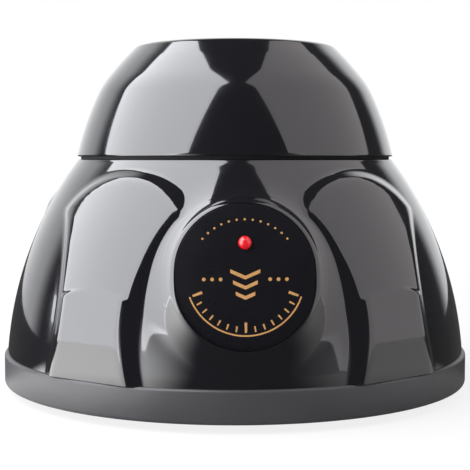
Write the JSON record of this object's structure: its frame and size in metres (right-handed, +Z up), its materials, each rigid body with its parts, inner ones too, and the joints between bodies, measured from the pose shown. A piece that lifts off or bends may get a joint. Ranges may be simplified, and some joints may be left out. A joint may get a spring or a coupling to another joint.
{
  "type": "nail polish shaker",
  "caption": "Round bench shaker for polish bottles: two glossy domed shells on a flat base, a front label plate with a lamp, and a sprung rubber cup that runs when pressed.",
  "frame": {"origin": "centre of the foot circle on the table top, on the motor's axis", "axes": "+Z up through the cup opening, -Y to the front where the label plate is, +X to the right seen from above with the front nearest"},
  "size_m": [0.125, 0.1252, 0.0915],
  "materials": {
    "gloss_shell": "polished black ABS",
    "satin_tray": "satin dark grey ABS",
    "label_face": "smooth black plate",
    "lamp_lens": "clear red lens",
    "black_rubber": "moulded rubber",
    "bright_steel": "zinc-plated or drawn steel",
    "polished_steel": "ground and polished steel",
    "spring_wire": "drawn spring wire",
    "turned_brass": "turned brass",
    "sintered_bronze": "sintered bronze",
    "cradle_plastic": "moulded grey plastic",
    "black_plastic": "moulded black plastic",
    "pale_plastic": "moulded pale plastic",
    "green_board": "solder-masked board",
    "blue_sleeve": "shrink sleeve",
    "red_plastic": "moulded red plastic",
    "ferrite": "pressed ferrite",
    "wound_copper": "varnished copper over steel laminations",
    "motor_steel": "drawn steel can",
    "red_lead": "PVC insulation",
    "black_lead": "PVC insulation"
  },
  "bodies": {
    "case": {"base_tray": "satin_tray", "rubber_feet": "black_rubber", "base_screws": "bright_steel", "lower_housing": "gloss_shell", "upper_housing": "gloss_shell", "housing_screws": "bright_steel", "label_plate": "label_face", "indicator_lamp": "lamp_lens", "lamp_grommet": "black_rubber", "guide_posts": "bright_steel", "post_washers": "bright_steel", "post_screws": "bright_steel", "return_springs": "spring_wire", "circuit_board": "green_board", "board_screws": "bright_steel", "board_capacitor": "blue_sleeve", "board_regulator": "black_plastic", "lead_header": "pale_plastic", "inlet_body": "black_plastic", "inlet_pin": "bright_steel", "inlet_nut": "bright_steel", "rocker_frame": "black_plastic", "rocker_terminals": "turned_brass", "switch_body": "black_plastic", "inlet_leads": "red_lead", "rocker_leads": "black_lead", "lamp_leads": "red_lead"},
    "carriage": {"motor_cradle": "cradle_plastic", "guide_bushes": "sintered_bronze", "motor_sleeve": "black_rubber", "motor_can": "motor_steel", "motor_magnets": "ferrite", "motor_end_cap": "pale_plastic", "motor_bushes": "sintered_bronze", "motor_terminals": "turned_brass", "motor_screws": "bright_steel", "motor_leads": "red_lead"},
    "rotor": {"motor_shaft": "polished_steel", "motor_armature": "wound_copper", "eccentric_hub": "turned_brass", "counterweight": "bright_steel", "hub_set_screw": "bright_steel", "bearing_inner_ring": "polished_steel", "bearing_washer": "bright_steel", "bearing_screw": "bright_steel"},
    "cup": {"bearing_outer_ring": "polished_steel", "bearing_balls": "polished_steel", "cup_holder": "black_plastic", "anti_turn_pins": "bright_steel", "rubber_cup": "black_rubber"},
    "lever": {"switch_lever": "bright_steel"},
    "plunger": {"switch_plunger": "red_plastic"},
    "paddle": {"rocker_paddle": "black_plastic"}
  },
  "joints": [
    {"name": "carriage_press", "type": "slide", "parent": "case", "child": "carriage", "axis": [0, 0, -1], "range_m": [0, 0.0025], "stiffness_N_per_m": 1200, "springref_m": -0.004, "deforming": ["return_springs"]},
    {"name": "rotor_spin", "type": "hinge", "parent": "carriage", "child": "rotor", "pos_m": [0, 0, 0.057], "axis": [0, 0, 1], "continuous": true},
    {"name": "cup_orbit", "type": "hinge", "parent": "rotor", "child": "cup", "pos_m": [0.002, 0, 0.063], "axis": [0, 0, 1], "continuous": true},
    {"name": "lever_hinge", "type": "hinge", "parent": "case", "child": "lever", "pos_m": [-0.008, 0.017, 0.0249], "axis": [0, 1, 0], "range_deg": [0, 11.5]},
    {"name": "plunger_slide", "type": "slide", "parent": "case", "child": "plunger", "axis": [0, 0, -1], "range_m": [0, 0.001]},
    {"name": "rocker_tilt", "type": "hinge", "parent": "case", "child": "paddle", "pos_m": [0.03374, 0.04643, 0.02455], "axis": [0.809, -0.5878, 0], "range_deg": [0, 16]}
  ],
  "couplings": [
    {"joint": "cup_orbit", "follows": "rotor_spin", "ratio": -1},
    {"joint": "lever_hinge", "follows": "carriage_press", "rad_per_m": 78.54},
    {"joint": "plunger_slide", "follows": "carriage_press", "ratio": 0.4}
  ]
}
